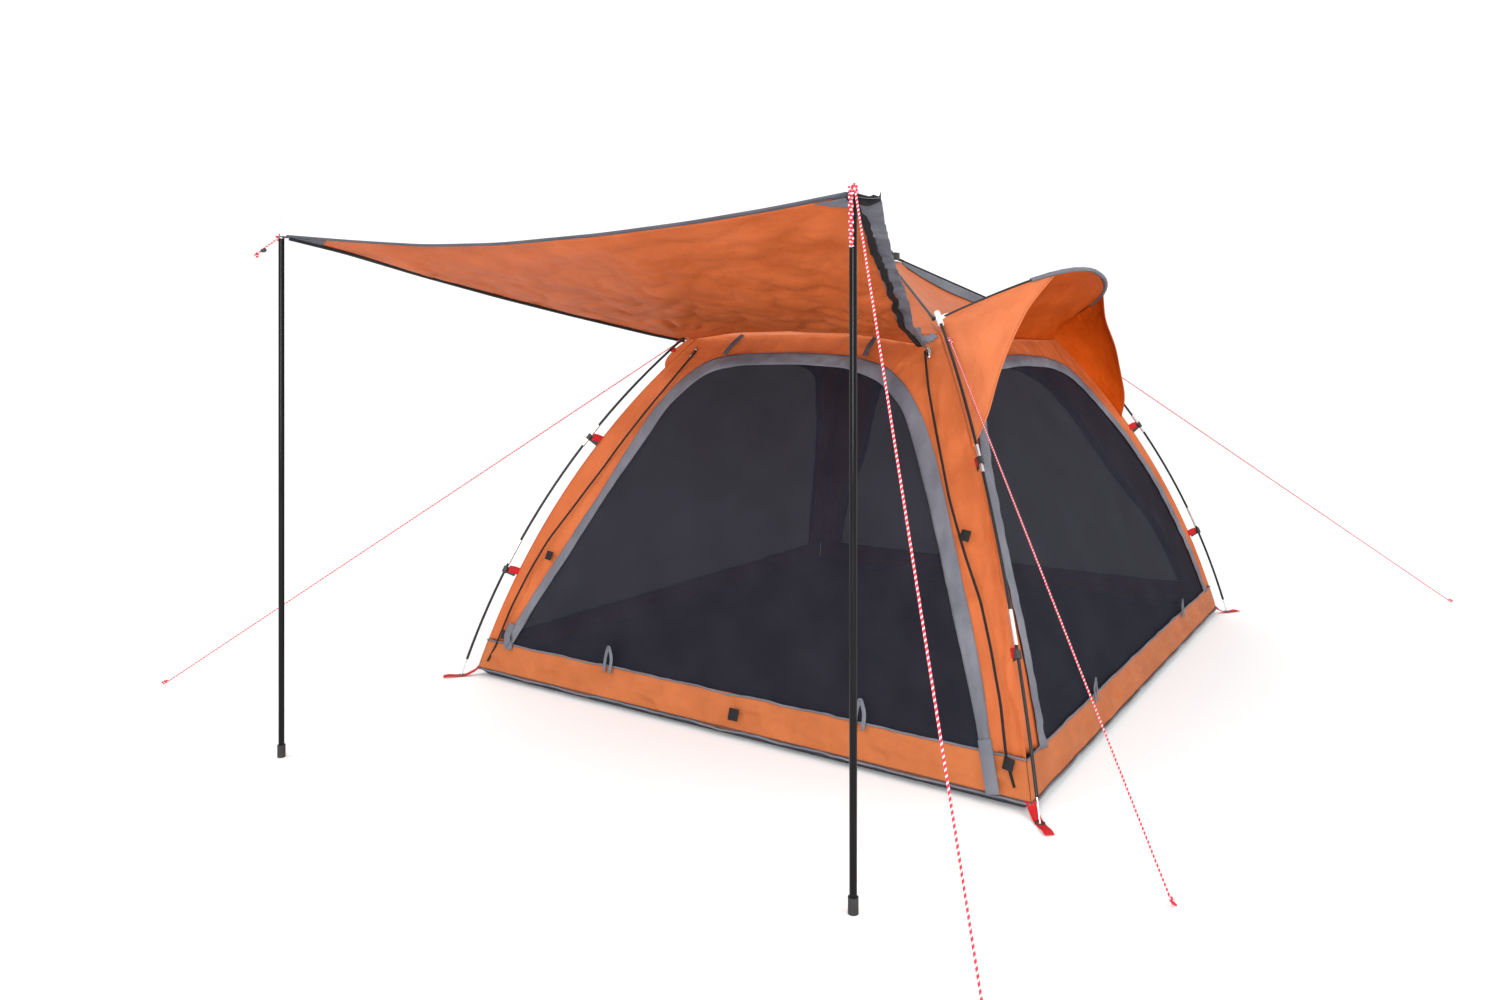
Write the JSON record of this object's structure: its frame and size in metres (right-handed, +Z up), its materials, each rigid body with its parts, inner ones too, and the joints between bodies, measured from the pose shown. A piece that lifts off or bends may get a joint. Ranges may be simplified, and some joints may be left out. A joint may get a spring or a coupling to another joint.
{
  "type": "tarp shelter",
  "caption": "Dome shelter tent with a folding hub frame on bowed legs, mesh windows, a visor on one side, and a front door raised on two poles as an awning, held by guy ropes.",
  "frame": {"origin": "on the ground under the centre of the hub and of the cabin floor", "axes": "+Z up; -Y is the door and awning side; +X is to the right seen from the door side"},
  "size_m": [3.653, 4.3734, 1.544],
  "materials": {
    "orange_fabric": "woven polyester, orange",
    "grey_fabric": "light grey woven tape and piping",
    "coated_fabric": "coated woven polyester, orange, slightly glossy",
    "floor_cloth": "coated dark grey oxford cloth",
    "mesh": "fine blue-grey insect netting, mostly opaque from afar",
    "red_webbing": "ribbed woven webbing",
    "rope": "braided polyester cord, red with white flecks",
    "zip_tape": "black woven tape with moulded coil teeth",
    "black_rod": "satin black coated rod",
    "black_plastic": "moulded nylon",
    "white_plastic": "moulded nylon",
    "black_rubber": "soft moulded rubber",
    "bright_steel": "plain drawn tube and pin",
    "pole_steel": "gloss black painted steel tube",
    "zinc": "plated zinc casting"
  },
  "bodies": {
    "tent": {"awning": "coated_fabric", "awning_pole_feet": "black_rubber", "awning_pole_left_lower": "pole_steel", "awning_pole_left_middle": "pole_steel", "awning_pole_left_upper": "pole_steel", "awning_pole_pins": "bright_steel", "awning_pole_right_lower": "pole_steel", "awning_pole_right_middle": "pole_steel", "awning_pole_right_upper": "pole_steel", "brow_pole_right": "black_rod", "corner_rings": "black_plastic", "corner_straps": "red_webbing", "front_wall": "orange_fabric", "ground_sheet": "floor_cloth", "guy_rope_awning_left": "rope", "guy_rope_awning_right": "rope", "guy_rope_front_left": "rope", "guy_rope_front_right": "rope", "guy_rope_rear_right": "rope", "hood_right": "coated_fabric", "left_mesh": "mesh", "left_wall": "orange_fabric", "rear_mesh": "mesh", "rear_wall": "orange_fabric", "right_mesh": "mesh", "right_wall": "orange_fabric", "roof_canopy": "coated_fabric", "storm_flap": "grey_fabric", "zip_tracks": "zip_tape"},
    "hub": {"hub_body": "black_plastic", "hub_pins": "bright_steel", "hub_cap": "black_plastic"},
    "arm_front_left": {"arm_front_left": "black_rod"},
    "arm_front_right": {"arm_front_right": "black_rod"},
    "arm_rear_right": {"arm_rear_right": "black_rod"},
    "arm_rear_left": {"arm_rear_left": "black_rod"},
    "leg_front_left": {"elbow_front_left": "white_plastic", "leg_front_left_clips": "black_plastic", "leg_front_left_ferrules_and_pin": "bright_steel", "leg_front_left_rods": "black_rod"},
    "leg_front_right": {"elbow_front_right": "white_plastic", "leg_front_right_clips": "black_plastic", "leg_front_right_ferrules_and_pin": "bright_steel", "leg_front_right_rods": "black_rod"},
    "leg_rear_right": {"elbow_rear_right": "white_plastic", "leg_rear_right_clips": "black_plastic", "leg_rear_right_ferrules_and_pin": "bright_steel", "leg_rear_right_rods": "black_rod"},
    "leg_rear_left": {"elbow_rear_left": "white_plastic", "leg_rear_left_clips": "black_plastic", "leg_rear_left_ferrules_and_pin": "bright_steel", "leg_rear_left_rods": "black_rod"},
    "door_panel": {"front_door": "mesh"},
    "slider_left": {"zip_slider_left": "zinc"},
    "puller_left": {"zip_puller_left": "zinc"},
    "slider_right": {"zip_slider_right": "zinc"},
    "puller_right": {"zip_puller_right": "zinc"}
  },
  "joints": [
    {"name": "hub_drop", "type": "slide", "parent": "tent", "child": "hub", "axis": [0, 0, 1], "range_m": [-1.4, 0], "deforming": ["front_wall", "rear_wall", "left_wall", "right_wall", "rear_mesh", "left_mesh", "right_mesh", "front_door", "roof_canopy", "hood_right", "awning", "storm_flap", "brow_pole_right", "zip_tracks", "zip_slider_left", "zip_slider_right", "zip_puller_left", "zip_puller_right", "guy_rope_awning_left", "guy_rope_awning_right", "guy_rope_front_left", "guy_rope_front_right", "guy_rope_rear_right"]},
    {"name": "arm_fold_front_left", "type": "hinge", "parent": "hub", "child": "arm_front_left", "pos_m": [-0.02689, -0.03227, 1.52], "axis": [-0.7682, 0.6402, 0], "range_deg": [0, 88.05]},
    {"name": "arm_fold_front_right", "type": "hinge", "parent": "hub", "child": "arm_front_right", "pos_m": [0.02689, -0.03227, 1.52], "axis": [-0.7682, -0.6402, 0], "range_deg": [0, 88.05]},
    {"name": "arm_fold_rear_right", "type": "hinge", "parent": "hub", "child": "arm_rear_right", "pos_m": [0.02689, 0.03227, 1.52], "axis": [0.7682, -0.6402, 0], "range_deg": [0, 88.05]},
    {"name": "arm_fold_rear_left", "type": "hinge", "parent": "hub", "child": "arm_rear_left", "pos_m": [-0.02689, 0.03227, 1.52], "axis": [0.7682, 0.6402, 0], "range_deg": [0, 88.05]},
    {"name": "leg_fold_front_left", "type": "hinge", "parent": "tent", "child": "leg_front_left", "pos_m": [-1.03521, -1.24225, 0.006], "axis": [-0.7682, 0.6402, 0], "range_deg": [0, 22.79]},
    {"name": "leg_fold_front_right", "type": "hinge", "parent": "tent", "child": "leg_front_right", "pos_m": [1.03521, -1.24225, 0.006], "axis": [-0.7682, -0.6402, 0], "range_deg": [0, 22.79]},
    {"name": "leg_fold_rear_right", "type": "hinge", "parent": "tent", "child": "leg_rear_right", "pos_m": [1.03521, 1.24225, 0.006], "axis": [0.7682, -0.6402, 0], "range_deg": [0, 22.79]},
    {"name": "leg_fold_rear_left", "type": "hinge", "parent": "tent", "child": "leg_rear_left", "pos_m": [-1.03521, 1.24225, 0.006], "axis": [0.7682, 0.6402, 0], "range_deg": [0, 22.79]},
    {"name": "door_drop", "type": "hinge", "parent": "tent", "child": "door_panel", "pos_m": [0, -1.15964, 0.125], "axis": [1, 0, 0], "range_deg": [0, 120]},
    {"name": "zip_slide_left", "type": "slide", "parent": "tent", "child": "slider_left", "axis": [-0.3353, -0.5279, -0.7803], "range_m": [0, 0.6]},
    {"name": "pull_tab_left", "type": "hinge", "parent": "slider_left", "child": "puller_left", "pos_m": [-0.49503, -0.6294, 1.15351], "axis": [-0.9421, 0.1879, 0.2777], "range_deg": [0, 150]},
    {"name": "zip_slide_right", "type": "slide", "parent": "tent", "child": "slider_right", "axis": [0.3353, -0.5279, -0.7803], "range_m": [0, 0.6]},
    {"name": "pull_tab_right", "type": "hinge", "parent": "slider_right", "child": "puller_right", "pos_m": [0.49503, -0.6294, 1.15351], "axis": [-0.9421, -0.1879, -0.2777], "range_deg": [0, 150]}
  ],
  "couplings": [
    {"joint": "arm_fold_front_left", "follows": "hub_drop", "rad_per_m": -1.0971},
    {"joint": "arm_fold_front_right", "follows": "hub_drop", "rad_per_m": -1.0971},
    {"joint": "arm_fold_rear_right", "follows": "hub_drop", "rad_per_m": -1.0971},
    {"joint": "arm_fold_rear_left", "follows": "hub_drop", "rad_per_m": -1.0971},
    {"joint": "leg_fold_front_left", "follows": "hub_drop", "rad_per_m": -0.28349},
    {"joint": "leg_fold_front_right", "follows": "hub_drop", "rad_per_m": -0.28349},
    {"joint": "leg_fold_rear_right", "follows": "hub_drop", "rad_per_m": -0.28349},
    {"joint": "leg_fold_rear_left", "follows": "hub_drop", "rad_per_m": -0.28349}
  ]
}
